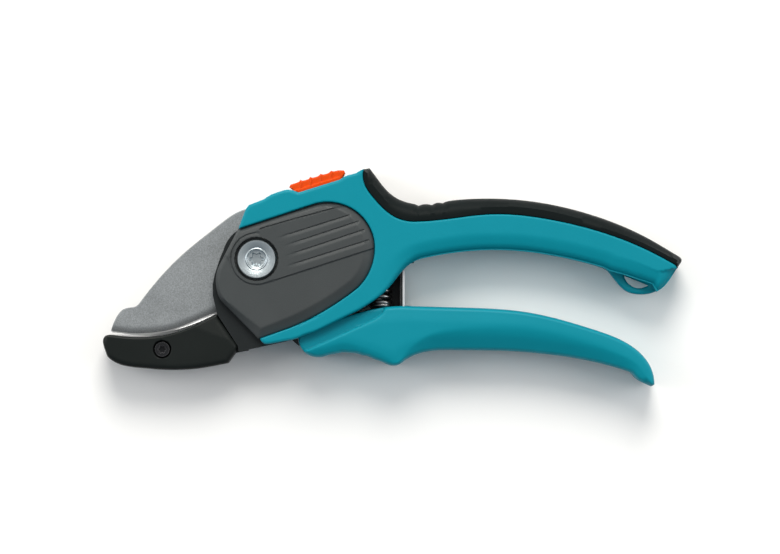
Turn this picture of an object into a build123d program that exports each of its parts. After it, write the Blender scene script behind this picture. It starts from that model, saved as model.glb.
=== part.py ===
from build123d import *
import math
import os

os.makedirs("parts", exist_ok=True)

# Anvil pruning shears, lying on their back cover.  X runs from the jaw to the handle ends,
# Y towards the upper handle, Z up through the thickness.  The pivot bolt's axis is X = Y = 0
# and the back cover's flat face is Z = 0.  All sizes in millimetres.

# ---- thickness stack, counted outwards from the blade's middle plane ----
blade_thick = 3.0
washer_thick = 0.5
cheek_thick = 4.5
floor_thick = 1.5
cover_thick = 3.0
cover_rim = 0.9                # step round the cover's outer face
handle_set_back = 0.4          # handles lie this far below the covers' faces
nose_wall = 2.5                # housing wall beside the lower handle's nose

blade_half = blade_thick / 2
cheek_in = blade_half + washer_thick
cheek_out = cheek_in + cheek_thick
floor_out = cheek_out + floor_thick
cover_out = floor_out + cover_thick
shell_out = cover_out - handle_set_back
mid = cover_out                # height of the blade's middle plane

# ---- clearances ----
run_gap = 0.05                 # radial, round parts that turn on each other
side_gap = 0.3                 # flat or curved faces of different bodies
open_pivot_gap = 0.3           # radial, link on its upper pin
seat_gap = 0.1                 # loose pieces of one body beside each other

# ---- pivots ----
bolt_r = 4.0
bolt_head_r = 7.15
bolt_head_ring = 0.75          # dark ring round the bolt head in the cover
hub_r = 12.5                   # cheek radius round the bolt
hinge = (22.0, -28.6)          # lower handle's hinge, in the carrier's lug
hinge_pin_r = 2.5
nose_r = 7.05
lug_r = 6.6
lug_half = 4.0
link_foot = (50.0, -21.5)      # link's pivot in the lower handle
link_head = (link_foot[0] - hinge[0], link_foot[1] - hinge[1])   # parallelogram with the bolt
link_pin_r = 2.5
link_in = 4.3                  # inner face of the link's side plates, from the middle plane
link_thick = 1.5
link_out = link_in + link_thick
link_head_r = 5.5
link_foot_r = 4.5
link_web_x = 53.6              # outer face of the link's web
link_web_top = -4.0
tail_r = 6.0                   # blade tail round the link's upper pin

# ---- handles ----
upper_reach = 154.5            # from the bolt to the end of the upper handle
lower_reach = 144.2
grip_start = 60.0
grip_head = (38.8, 32.6)       # front end of the soft grip
nose_half = shell_out - nose_wall - side_gap
pocket_half = link_out + 0.4
eye_half = 3.2                 # half thickness of the hanging loop
pin_nose_cap = 2.4             # hinge pin past the lug, into the front side of the nose
pin_front = 8.0                # link's lower pin ends this far in front of the middle plane
pin_cap = 0.3                  # upper pin past the link's plate

# ---- jaw ----
anvil_half = 7.0
tongue_half = 3.5
anvil_screw_at = (-34.3, -32.7)
anvil_screw_r = 1.6
anvil_screw_skin = 1.5         # anvil left under the screw's tip
anvil_screw_head_high = 2.0
anvil_socket_r = 1.5
anvil_socket_deep = 1.4
anvil_edge = 0.7
anvil_screw_head_r = 2.65
anvil_recess_r = 3.35
anvil_recess_depth = 2.6

# ---- spring ----
spring_r = 3.4                 # mean radius
spring_wire_r = 0.6
spring_x = 45.2
spring_top = -1.5
spring_foot = -17.6
spring_turns = 7
spring_free = 0.05             # gap at each end of the coil
post_half = 3.9                # post and stop at the coil's two ends
stop_thick = 3.0

# ---- lock ----
lock_slope = 17.3              # direction of the slider's travel, degrees above +X
lock_travel = 4.0
slider_half = 4.5
stem_half = 1.8
catch_thick = 1.5
leaf_half = 1.5
leaf_thick = 0.5
seat_start = (15.2, 24.1)      # lower end of the housing's edge in front of the slider
seat_long = 15.8
channel_floor = 0.7            # slider's channel, below that edge
channel_long = 19.0 + lock_travel     # the slider's stem and its travel

# ---- pivot nut, covers and housing screws ----
washer_r = 7.6
washer_high = 0.8
nut_flats = 12.0
head_chamfer = 0.5
head_sink = 0.2                # bolt head below the cover's face
socket_r = 3.3
socket_deep = 3.2
blade_washer_r = 10.0
blade_sweep = 19.4             # reach of the blade's shoulder from the bolt
spacer_wall = 1.8
screw_r = 1.5
screw_head_r = 2.5
screw_head_high = 2.0
screw_sink = 1.0               # head's face below the shell's back
screw_grip = 6.0               # screw hole past the middle plane
screw_short = 0.5              # screw tip short of its hole's end
screw_socket_r = 1.3
screw_socket_deep = 1.2


def upper_x(share):
    """X at a share of the way from the head to the upper handle's end."""
    return grip_start + share * (upper_reach - grip_start)


def lower_x(share):
    """X at a share of the way from the head to the lower handle's end."""
    return grip_start + share * (lower_reach - grip_start)


grip_toe = (upper_x(1) - 3.0, -2.2)    # rear end of the line between the grip and the housing
screw_places = [(10.6, 21.0), (62.0, 9.0), (upper_x(0.45), 9.6), (upper_x(0.88), -2.4)]


def slab(near, far, side=1):
    """Plane and height of a slab between two distances from the middle plane."""
    low = mid + min(side * near, side * far)
    return Plane.XY.offset(low), abs(far - near)


def grip_boundary():
    """Curve along which the soft grip meets the housing, head end first."""
    head = Spline(grip_head, (38.9, 27.5), (42.7, 21.6), (48.8, 15.9), (57.2, 13.5))
    return Spline(head @ 1, (upper_x(0.264), 16.2), (upper_x(0.498), 14.1), (upper_x(0.748), 7.7), grip_toe,
                  tangents=(head % 1, Vector(0.86, -0.5)))


housing_front_edge = [(1.3, -28.5), (-3.8, -22.0), (-10.5, -13.0), (-11.2, -8.0), (-8.0, 2.0), (-6.4, 11.6)]


def housing_outline():
    """Upper handle with its head, below the soft grip."""
    with BuildSketch() as shape:
        with BuildLine():
            edge = grip_boundary()
            end = edge @ 1
            Line(end, end + Vector(0.7, -1.2))
            heel = Line(end + Vector(0.7, -1.2), end + Vector(-1.8, -5.1))
            eye = Spline(heel @ 1, end + Vector(-8.0, -10.2), end + Vector(-15.5, -10.3),
                         end + Vector(-18.3, -8.9), tangents=(heel % 1, Vector(-0.75, 0.66)))
            crook = Spline(eye @ 1, end + Vector(-22.5, -4.1), end + Vector(-26.2, -0.8),
                           tangents=(eye % 1, Vector(-0.95, 0.3)))
            belly = Spline(crook @ 1, (upper_x(0.529), 0.8), (upper_x(0.264), 3.3), (upper_x(0.14), 2.5),
                           (grip_start, 0.2))
            lip = Spline(belly @ 1, (47.8, -10.6), (37.2, -18.5),
                         tangents=(belly % 1, Vector(-0.85, -0.53)))
            chin = Polyline(lip @ 1, (21.2, -26.4), (17.2, -27.6), (14.3, -29.0), (3.9, -30.9))
            ThreePointArc(chin @ 1, (1.9, -30.3), (1.3, -28.5))
            front = Polyline(*housing_front_edge, (-3.9, 18.3), (-2.7, 19.6), (2.7, 21.7), (5.2, 23.4),
                             (10.6, 25.2))
            step = Polyline(front @ 1, (12.6, 25.2), seat_start)
            seat = PolarLine(step @ 1, seat_long, lock_slope)
            Polyline(seat @ 1, (32.2, 30.2), (36.1, 31.1), (37.9, 32.4), grip_head)
        make_face()
    return shape.sketch


def cover_outline():
    """Side cover, the same at the front and the back."""
    with BuildSketch() as shape:
        with BuildLine():
            left = Line((-6.8, 10.7), (-13.9, -3.0))
            chest = ThreePointArc(left @ 1, (-14.8, -8.6), (-13.1, -14.8))
            foot = Polyline(chest @ 1, (0.6, -28.8), (12.1, -24.7))
            belly = ThreePointArc(foot @ 1, (24.8, -18.4), (36.5, -10.3))
            heel = ThreePointArc(belly @ 1, (41.6, -2.2), (42.4, 6.5))
            back = ThreePointArc(heel @ 1, (38.3, 15.0), (30.5, 19.8))
            brow = ThreePointArc(back @ 1, (25.9, 20.5), (21.2, 19.9))
            Line(brow @ 1, left @ 0)
        make_face()
    return shape.sketch


def lower_outline():
    """Lower handle, nose and grip."""
    with BuildSketch() as shape:
        with BuildLine():
            hx, hy = hinge
            crown = math.radians(58)
            bottom = math.radians(262)
            start = (hx + nose_r * math.cos(crown), hy + nose_r * math.sin(crown))
            stop = (hx + nose_r * math.cos(bottom), hy + nose_r * math.sin(bottom))
            nose = ThreePointArc(start, (hx - nose_r, hy), stop)
            fingers = Spline(nose @ 1, (29.2, -34.3), (40.5, -35.6), (46.5, -38.0), (52.0, -38.1),
                             tangents=(nose % 1, Vector(0.8, 0.6)))
            under = Spline(fingers @ 1, (56.5, -35.1), (lower_x(0.16), -33.1), (lower_x(0.34), -33.3),
                           (lower_x(0.53), -34.5), (lower_x(0.71), -36.8), (lower_x(0.9), -41.2))
            tip = Polyline(under @ 1, (lower_x(0.925), -43.7), (lower_x(0.945), -44.7),
                           (lower_x(0.985), -46.2), (lower_x(1) - 0.1, -45.4))
            top = Spline(tip @ 1, (lower_x(0.965), -36.6), (lower_x(0.917), -32.5), (lower_x(0.73), -25.3),
                         (lower_x(0.46), -19.4), (lower_x(0.2), -17.7), (54.0, -17.0))
            shoulder = ThreePointArc(top @ 1, (46.8, -17.4), (39.7, -18.7))
            Line(shoulder @ 1, start)
        make_face()
    return shape.sketch


def cheek_outline():
    """One cheek of the carrier, before it is cut back round the lower handle's nose."""
    with BuildSketch() as shape:
        with BuildLine():
            Polyline((-7.9, 9.7), (-10.4, 6.9), (-13.2, 0.7), (-15.2, -5.3), (-16.0, -9.3), (-15.9, -13.3),
                     (-14.4, -19.9),
                     (-6.9, -31.4), (-6.5, -33.6), (3.4, -31.4), (12.8, -29.4), (15.4, -31.6), hinge,
                     (hinge[0] + 5.0, hinge[1] + 3.9), (12.0, -4.0), (0, 0), close=True)
        make_face()
    return shape.sketch


def anvil_outline():
    with BuildSketch() as shape:
        with BuildLine():
            strike = Spline((-14.4, -19.9), (-22.6, -24.0), (-29.8, -26.6), (-37.8, -28.1), (-46.2, -28.2),
                            (-53.8, -27.4))
            tip = Spline(strike @ 1, (-55.8, -28.6), (-54.6, -34.4), (-51.6, -37.4),
                         tangents=(strike % 1, Vector(0.85, -0.5)))
            under = Spline(tip @ 1, (-41.4, -39.6), (-33.4, -40.2), (-22.5, -39.9), (-10.4, -37.8),
                           tangents=(tip % 1, Vector(0.98, 0.2)))
            Polyline(under @ 1, (-7.6, -34.0), (-6.9, -31.4), strike @ 0)
        make_face()
    return shape.sketch


def tongue_outline(gap=0.0):
    """Tongue of the carrier inside the anvil; gap grows it into the anvil's channel."""
    with BuildSketch() as shape:
        with BuildLine():
            Polyline((-9.6, -24.0), (-22.0, -28.0 + gap), (-34.0, -30.4 + gap), (-48.0, -30.8 + gap),
                     (-49.5 - gap, -31.5), (-49.0 - gap, -34.6 - gap), (-34.0, -36.6 - gap),
                     (-20.0, -36.4 - gap), (-3.0, -33.2), close=True)
        make_face()
    return shape.sketch


def slider_outline():
    """Side view of the lock slider; its lower edge lies along the channel's floor."""
    with BuildSketch() as shape:
        Polygon((15.3, 23.8), (13.2, 24.8), (11.7, 26.1), (12.2, 27.1), (28.1, 31.9), (29.6, 32.3),
                (31.6, 32.2), (32.1, 31.2), (30.4, 28.5), align=None)
    return shape.sketch


lock_way = Vector(1, 0, 0).rotate(Axis.Z, lock_slope)

# ================= upper handle side =================

# Carrier: two cheeks round the blade, one with the jaw's tongue and the hinge lug.
with BuildPart() as anvil_carrier:
    plane, high = slab(-cheek_out, cheek_out)
    with BuildSketch(plane):
        add(cheek_outline())
        Circle(hub_r)
    extrude(amount=high)
    with BuildSketch(plane):
        with Locations(hinge):
            Circle(nose_r + side_gap)
    extrude(amount=high, mode=Mode.SUBTRACT)
    plane, high = slab(-lug_half, lug_half)
    with BuildSketch(plane):
        with Locations(hinge):
            Circle(lug_r)
        with Locations(Location((hinge[0] - 4.6, hinge[1] + 6.0, 0), 127.6)):
            Rectangle(8, 9)
    extrude(amount=high)
    plane, high = slab(-tongue_half, tongue_half)
    with BuildSketch(plane):
        add(tongue_outline())
    extrude(amount=high)
    plane, high = slab(-cheek_in, cheek_in)
    with BuildSketch(plane):
        with BuildLine():
            Polyline((-30, -21.2), (-14.5, -21.2), (-8.0, -19.0), (0, -15.5), (14, -14.2), (40, -14.2),
                     (40, 30), (-30, 30), close=True)
        make_face()
    extrude(amount=high, mode=Mode.SUBTRACT)
    with BuildSketch(Plane.XY):
        Circle(bolt_r)
        with Locations(hinge):
            Circle(hinge_pin_r + run_gap)
        with Locations(anvil_screw_at):
            Circle(anvil_screw_r)
    extrude(amount=2 * mid, mode=Mode.SUBTRACT)
anvil_carrier.part.label = "anvil_carrier"

# Anvil: a cap that slides over the tongue, held by one screw.
with BuildPart() as anvil:
    plane, high = slab(-anvil_half, anvil_half)
    with BuildSketch(plane):
        add(anvil_outline())
    extrude(amount=high)
    chamfer(anvil.edges().group_by(Axis.Z)[0] + anvil.edges().group_by(Axis.Z)[-1], anvil_edge)
    plane, high = slab(-tongue_half - seat_gap, tongue_half + seat_gap)
    with BuildSketch(plane):
        add(tongue_outline(seat_gap))
    extrude(amount=high, mode=Mode.SUBTRACT)
    with BuildSketch(Plane.XY.offset(mid - anvil_half + anvil_screw_skin)):
        with Locations(anvil_screw_at):
            Circle(anvil_screw_r)
    extrude(amount=2 * anvil_half, mode=Mode.SUBTRACT)
    with BuildSketch(Plane.XY.offset(mid + anvil_half - anvil_recess_depth)):
        with Locations(anvil_screw_at):
            Circle(anvil_recess_r)
    extrude(amount=anvil_recess_depth, mode=Mode.SUBTRACT)
anvil.part.label = "anvil"


def six_lobes(radius):
    """Cross-section of a six-lobed drive socket."""
    with BuildSketch() as shape:
        Circle(radius * 0.76)
        with PolarLocations(radius * 0.72, 6):
            Circle(radius * 0.28)
    return shape.sketch


with BuildPart() as anvil_screw:
    tip_low = mid - anvil_half + anvil_screw_skin
    head_low = mid + anvil_half - anvil_recess_depth
    with BuildSketch(Plane.XY.offset(tip_low)):
        with Locations(anvil_screw_at):
            Circle(anvil_screw_r)
    extrude(amount=head_low - tip_low)
    with BuildSketch(Plane.XY.offset(head_low)):
        with Locations(anvil_screw_at):
            Circle(anvil_screw_head_r)
    extrude(amount=anvil_screw_head_high)
    with BuildSketch(Plane.XY.offset(head_low + anvil_screw_head_high - anvil_socket_deep)):
        with Locations(anvil_screw_at):
            add(six_lobes(anvil_socket_r))
    extrude(amount=anvil_socket_deep, mode=Mode.SUBTRACT)
anvil_screw.part.label = "anvil_screw"


def shell(side):
    """One half of the housing and upper handle; side is 1 at the front, -1 at the back."""
    with BuildPart() as half:
        plane, high = slab(0, shell_out, side)
        with BuildSketch(plane):
            add(housing_outline())
        extrude(amount=high)
        # mechanism room, open at the front and below
        plane, high = slab(0, cheek_out, side)
        with BuildSketch(plane):
            with BuildLine():
                Polyline((-40, 10.0), (-3, 13.5), (20, 20.6), (34, 20.0), (45, 8.5), (54.6, 0.5), (54.6, -45),
                         (-40, -45), close=True)
            make_face()
        extrude(amount=high, mode=Mode.SUBTRACT)
        # room for the lower handle's nose
        plane, high = slab(0, nose_half + side_gap, side)
        with BuildSketch(plane):
            with Locations(hinge):
                Circle(nose_r + side_gap)
            with BuildLine():
                Polyline(hinge, (hinge[0] + 4.3, hinge[1] + 6.8), (39.7, -17.6), (60, -14), (60, -45),
                         (10, -45), (10, -33), close=True)
            make_face()
        extrude(amount=high, mode=Mode.SUBTRACT)
        # slot swept by the blade's shoulder
        plane, high = slab(0, cheek_in, side)
        with BuildSketch(plane):
            Circle(blade_sweep)
        extrude(amount=high, mode=Mode.SUBTRACT)
        # recess of the side cover
        plane, high = slab(floor_out, shell_out + 1, side)
        with BuildSketch(plane):
            offset(cover_outline(), side_gap)
        extrude(amount=high, mode=Mode.SUBTRACT)
        # thin hanging loop
        plane, high = slab(eye_half, shell_out + 1, side)
        end = Vector(*grip_toe)
        with BuildSketch(plane):
            with BuildLine():
                Polyline(end + Vector(-29, -0.7), end + Vector(-18.1, -3.6), end + Vector(-8.2, -6.9),
                         end + Vector(-4.0, -14), end + Vector(-29, -14), close=True)
            make_face()
        extrude(amount=high, mode=Mode.SUBTRACT)
        plane, high = slab(-1, shell_out + 1, side)
        with BuildSketch(plane):
            with BuildLine():
                brow = Line(end + Vector(-18.2, -3.8), end + Vector(-9.2, -7.4))
                ThreePointArc(brow @ 1, end + Vector(-14.8, -7.9), brow @ 0)
            make_face()
        extrude(amount=high, mode=Mode.SUBTRACT)
        # channel of the lock slider and slot of its stem
        plane, high = slab(0, slider_half + side_gap, side)
        foot = Vector(*seat_start) - Vector(0.2, channel_floor)
        mouth = foot + lock_way * channel_long
        with BuildSketch(plane):
            Polygon(foot, mouth, mouth + Vector(-1, 8), (10.5, 36), (10.5, 25.5), align=None)
        extrude(amount=high, mode=Mode.SUBTRACT)
        plane, high = slab(0, stem_half + side_gap, side)
        with BuildSketch(plane):
            with BuildLine():
                Polyline((18.0, 14.0), (31.0, 14.0), (31.0, 32), (18.0, 28), close=True)
            make_face()
        extrude(amount=high, mode=Mode.SUBTRACT)
        # seat of the spring's upper stop
        plane, high = slab(0, post_half, side)
        with BuildSketch(plane):
            add(stop_outline())
        extrude(amount=high, mode=Mode.SUBTRACT)
        # bolt hole and screw holes
        plane, high = slab(0, shell_out + 1, side)
        with BuildSketch(plane):
            Circle(bolt_r)
        extrude(amount=high, mode=Mode.SUBTRACT)
        plane, high = slab(0, screw_grip if side > 0 else shell_out, side)
        with BuildSketch(plane):
            with Locations(*screw_places):
                Circle(screw_r)
        extrude(amount=high, mode=Mode.SUBTRACT)
        if side < 0:
            with BuildSketch(Plane.XY.offset(mid - shell_out)):
                with Locations(*screw_places):
                    Circle(screw_head_r + seat_gap)
            extrude(amount=screw_sink + screw_head_high, mode=Mode.SUBTRACT)
            with BuildSketch(Plane.XY.offset(mid - floor_out)):
                Circle(washer_r + seat_gap)
            extrude(amount=floor_thick, mode=Mode.SUBTRACT)
    return half


def stop_outline():
    """Spring's upper stop: a tongue over the spring, with a root held between the shells."""
    with BuildSketch() as shape:
        stop_back = spring_top + stop_thick
        Polygon((41.0, spring_top), (57.0, spring_top), (57.0, 8.0), (54.2, 8.0), (54.2, stop_back),
                (41.0, stop_back), align=None)
    return shape.sketch


housing_front = shell(1)
housing_front.part.label = "housing_front"
housing_back = shell(-1)
housing_back.part.label = "housing_back"

with BuildPart() as soft_grip:
    plane, high = slab(-shell_out, shell_out)
    with BuildSketch(plane):
        with BuildLine():
            edge = grip_boundary()
            end = edge @ 1
            Line(end, end + Vector(0.9, -1.1))
            toe = Line(end + Vector(0.9, -1.1), end + Vector(3.0, 1.6))
            heel = ThreePointArc(toe @ 1, end + Vector(3.05, 2.2), end + Vector(2.6, 2.6))
            back = Spline(heel @ 1, (upper_x(0.88), 6.9), (upper_x(0.656), 15.9), (upper_x(0.382), 21.4),
                          (upper_x(0.25), 22.0), (upper_x(0.09), 21.0), (57.6, 20.0), (49.9, 22.6),
                          (40.9, 33.0), tangents=(Vector(-0.86, 0.5), Vector(-0.62, 0.78)))
            Line(back @ 1, grip_head)
        make_face()
    extrude(amount=high)
soft_grip.part.label = "soft_grip"


def cover(side):
    """Side cover: thick over the carrier's neck, thin over the housing."""
    with BuildPart() as plate:
        plane, high = slab(floor_out, cover_out - cover_rim, side)
        with BuildSketch(plane):
            add(cover_outline())
        extrude(amount=high)
        plane, high = slab(cover_out - cover_rim, cover_out, side)
        with BuildSketch(plane):
            offset(cover_outline(), -cover_rim)
        extrude(amount=high)
        plane, high = slab(cheek_out, floor_out, side)
        with BuildSketch(plane):
            add(cover_outline())
            Polygon(*[(x - side_gap, y) for x, y in housing_front_edge], (-6.7, 30), (60, 30), (60, -40),
                    (1.0, -40), align=None, mode=Mode.SUBTRACT)
        extrude(amount=high)
        plane, high = slab(cheek_out, cover_out, side)
        with BuildSketch(plane):
            Circle(bolt_head_r + bolt_head_ring)
        extrude(amount=high, mode=Mode.SUBTRACT)
    return plate


cover_front = cover(1)
cover_front.part.label = "cover_front"
cover_back = cover(-1)
cover_back.part.label = "cover_back"

# Pivot bolt: flat head at the front; bolt end and nut lie in the back cover's plane.
with BuildPart() as pivot_bolt:
    with BuildSketch(Plane.XY):
        Circle(bolt_r)
    extrude(amount=mid + floor_out)
    with BuildSketch(Plane.XY.offset(mid + floor_out)):
        Circle(bolt_head_r)
    extrude(amount=cover_thick - head_sink)
    chamfer(pivot_bolt.edges().group_by(Axis.Z)[-1], head_chamfer)
    with BuildSketch(Plane.XY.offset(mid + cover_out - head_sink - socket_deep)):
        add(six_lobes(socket_r))
    extrude(amount=socket_deep, mode=Mode.SUBTRACT)
pivot_bolt.part.label = "pivot_bolt"

with BuildPart() as nut_washer:
    with BuildSketch(Plane.XY.offset(mid - cheek_out - washer_high)):
        Circle(washer_r)
        Circle(bolt_r, mode=Mode.SUBTRACT)
    extrude(amount=washer_high)
nut_washer.part.label = "nut_washer"

with BuildPart() as pivot_nut:
    with BuildSketch(Plane.XY):
        RegularPolygon(nut_flats / 2, 6, major_radius=False)
        Circle(bolt_r, mode=Mode.SUBTRACT)
    extrude(amount=mid - cheek_out - washer_high)
pivot_nut.part.label = "pivot_nut"

with BuildPart() as blade_washers:
    for side in (-1, 1):
        plane, high = slab(blade_half + run_gap, cheek_in, side)
        with BuildSketch(plane):
            Circle(blade_washer_r)
            Circle(bolt_r, mode=Mode.SUBTRACT)
        extrude(amount=high)
blade_washers.part.label = "blade_washers"

with BuildPart() as housing_screws:
    with BuildSketch(Plane.XY.offset(mid - shell_out + screw_sink)):
        with Locations(*screw_places):
            Circle(screw_head_r)
    extrude(amount=screw_head_high)
    with BuildSketch(Plane.XY.offset(mid - shell_out + screw_sink)):
        with Locations(*screw_places):
            Circle(screw_r)
    extrude(amount=shell_out - screw_sink + screw_grip - screw_short)
    with BuildSketch(Plane.XY.offset(mid - shell_out + screw_sink)):
        with Locations(*screw_places):
            add(six_lobes(screw_socket_r))
    extrude(amount=screw_socket_deep, mode=Mode.SUBTRACT)
housing_screws.part.label = "housing_screws"

with BuildPart() as spring_stop:
    plane, high = slab(-post_half, post_half)
    with BuildSketch(plane):
        add(stop_outline())
    extrude(amount=high)
spring_stop.part.label = "spring_stop"

with BuildPart() as lock_spring:
    plane, high = slab(-leaf_half, leaf_half)
    with BuildSketch(plane):
        with BuildLine() as leaf:
            Polyline((33.2, 19.6), (28.9, 18.4), (29.3, 15.8), (32.5, 15.4))
        trace(leaf.line, line_width=leaf_thick)
    extrude(amount=high)
lock_spring.part.label = "lock_spring"

# ================= blade =================
with BuildPart() as blade:
    plane, high = slab(-blade_half, blade_half)
    with BuildSketch(plane):
        with BuildLine():
            back = Spline((-1.0, 18.6), (-3.9, 18.3), (-14.1, 12.3), (-28.7, 0.3), (-43.5, -16.9))
            notch = Spline(back @ 1, (-45.1, -17.5), (-49.0, -18.3), (-50.4, -19.8), (-53.3, -26.2),
                           tangents=(Vector(-0.5, -0.85), Vector(-0.3, -0.95)))
            tip = Line(notch @ 1, (-52.6, -26.7))
            edge = Spline(tip @ 1, (-43.2, -27.5), (-30.9, -26.0), (-14.6, -19.6))
            heel = Polyline(edge @ 1, (-8.0, -17.2), (0, -13.0))
            ThreePointArc(heel @ 1, (9.2, -9.2), (12.6, -3.4))
            Polyline((12.6, -3.4), (link_head[0] + 1.0, link_head[1] - tail_r + 0.1), link_head,
                     (link_head[0] - 1.0, link_head[1] + tail_r - 0.1), (17.6, 12.6), (16.4, 10.2),
                     (13.6, 10.6), (13.2, 13.3), (6.0, 17.6), back @ 0)
        make_face()
        with Locations(link_head):
            Circle(tail_r)
    extrude(amount=high)
    with BuildSketch(plane):
        Circle(bolt_r + run_gap)
        with Locations(link_head):
            Circle(link_pin_r)
    extrude(amount=high, mode=Mode.SUBTRACT)
blade.part.label = "blade"

with BuildPart() as link_pin_upper:
    plane, high = slab(-link_out - pin_cap, link_in - side_gap)
    with BuildSketch(plane):
        with Locations(link_head):
            Circle(link_pin_r)
    extrude(amount=high)
link_pin_upper.part.label = "link_pin_upper"

with BuildPart() as link_spacers:
    for side in (-1, 1):
        plane, high = slab(blade_half, link_in - side_gap, side)
        with BuildSketch(plane):
            with Locations(link_head):
                Circle(link_pin_r + spacer_wall)
                Circle(link_pin_r, mode=Mode.SUBTRACT)
        extrude(amount=high)
link_spacers.part.label = "link_spacers"

# ================= lower handle =================
with BuildPart() as lower_handle:
    plane, high = slab(-shell_out, shell_out)
    with BuildSketch(plane):
        add(lower_outline())
    extrude(amount=high)
    for side in (-1, 1):
        plane, high = slab(nose_half, shell_out + 1, side)
        with BuildSketch(plane):
            Polygon((10, -36), (19.0, -32.5), (36.0, -24.6), (45.0, -19.8), (46.5, -10), (10, -10),
                    align=None)
        extrude(amount=high, mode=Mode.SUBTRACT)
    # slot for the carrier's lug
    plane, high = slab(-lug_half - side_gap, lug_half + side_gap)
    with BuildSketch(plane):
        with Locations(hinge):
            Circle(nose_r + 0.5)
    extrude(amount=high, mode=Mode.SUBTRACT)
    # pocket for the link and the spring
    plane, high = slab(-pocket_half, pocket_half)
    with BuildSketch(plane):
        Polygon((55.2, -10), (55.2, -27.2), (46.0, -28.0), (37.0, -23.6), (31.0, -21.0), (31.0, -10),
                align=None)
    extrude(amount=high, mode=Mode.SUBTRACT)
    # post under the spring
    plane, high = slab(-post_half, post_half)
    with BuildSketch(plane):
        Polygon((41.4, -30), (49.0, -30), (49.0, spring_foot), (41.4, spring_foot), align=None)
    extrude(amount=high)
    with BuildSketch(Plane.XY.offset(mid - shell_out)):
        with Locations(link_foot):
            Circle(link_pin_r)
    extrude(amount=shell_out + pin_front, mode=Mode.SUBTRACT)
    with BuildSketch(Plane.XY.offset(mid - nose_half)):
        with Locations(hinge):
            Circle(hinge_pin_r)
    extrude(amount=nose_half + lug_half + pin_nose_cap, mode=Mode.SUBTRACT)
lower_handle.part.label = "lower_handle"

with BuildPart() as hinge_pin:
    with BuildSketch(Plane.XY.offset(mid - nose_half)):
        with Locations(hinge):
            Circle(hinge_pin_r)
    extrude(amount=nose_half + lug_half + pin_nose_cap)
hinge_pin.part.label = "hinge_pin"

with BuildPart() as link_pin_lower:
    with BuildSketch(Plane.XY.offset(mid - shell_out)):
        with Locations(link_foot):
            Circle(link_pin_r)
    extrude(amount=shell_out + pin_front)
link_pin_lower.part.label = "link_pin_lower"

# ================= link =================
# Folded strip: a plate behind the blade and the spring, and a web across the gap.
with BuildPart() as link:
    across = Vector(hinge[1], -hinge[0]).normalized() * -1
    head = Vector(*link_head)
    foot = Vector(*link_foot)
    plane, high = slab(-link_out, -link_in)
    with BuildSketch(plane):
        with Locations(link_head):
            Circle(link_head_r)
        with Locations(link_foot):
            Circle(link_foot_r)
        Polygon(head - across * link_head_r, foot - across * link_foot_r, foot, (link_web_x, foot.Y),
                (link_web_x, link_web_top), head + across * link_head_r, align=None)
    extrude(amount=high)
    plane, high = slab(-link_out, link_out)
    with BuildSketch(plane):
        Polygon((link_web_x - link_thick, foot.Y), (link_web_x, foot.Y), (link_web_x, link_web_top),
                (link_web_x - link_thick, link_web_top), align=None)
    extrude(amount=high)
    with BuildSketch(plane):
        with Locations(link_head):
            Circle(link_pin_r + open_pivot_gap)
        with Locations(link_foot):
            Circle(link_pin_r + run_gap)
    extrude(amount=high, mode=Mode.SUBTRACT)
link.part.label = "link"

with BuildPart() as return_spring:
    height = spring_top - spring_foot - 2 * (spring_wire_r + spring_free)
    with BuildLine():
        coil = Helix(pitch=height / spring_turns, height=height, radius=spring_r,
                     center=(spring_x, spring_foot + spring_wire_r + spring_free, mid), direction=(0, 1, 0))
    with BuildSketch(Plane(origin=coil @ 0, z_dir=coil % 0)):
        Circle(spring_wire_r)
    sweep(is_frenet=True)
return_spring.part.label = "return_spring"

# ================= lock =================
with BuildPart() as lock_slider:
    plane, high = slab(-slider_half, slider_half)
    with BuildSketch(plane):
        add(slider_outline())
    extrude(amount=high)
    plane, high = slab(-stem_half, stem_half)
    with BuildSketch(plane):
        Polygon((18.6, 16.4), (23.2, 16.4), (26.0, 20.0), (26.0, 28.0), (18.6, 26.0), align=None)
    extrude(amount=high)
lock_slider.part.label = "lock_slider"

with BuildPart() as lock_catch:
    plane, high = slab(stem_half, stem_half + catch_thick)
    with BuildSketch(plane):
        Polygon((18.8, 18.4), (23.0, 18.4), (23.0, 16.8), (20.5, 15.0), (17.0, 11.2), (14.4, 11.4),
                (15.2, 14.6), align=None)
    extrude(amount=high)
lock_catch.part.label = "lock_catch"

pieces = [
    anvil_carrier, anvil, anvil_screw, housing_front, housing_back, soft_grip, cover_front, cover_back,
    pivot_bolt, nut_washer, pivot_nut, blade_washers, housing_screws, spring_stop, lock_spring,
    return_spring, blade, link_pin_upper, link_spacers, lower_handle, hinge_pin, link_pin_lower, link,
    lock_slider, lock_catch,
]
for piece in pieces:
    export_step(piece.part, "parts/" + piece.part.label + ".step")
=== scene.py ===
import math

import bmesh
import bpy
import numpy as np
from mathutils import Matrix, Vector
from mathutils.geometry import delaunay_2d_cdt


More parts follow.
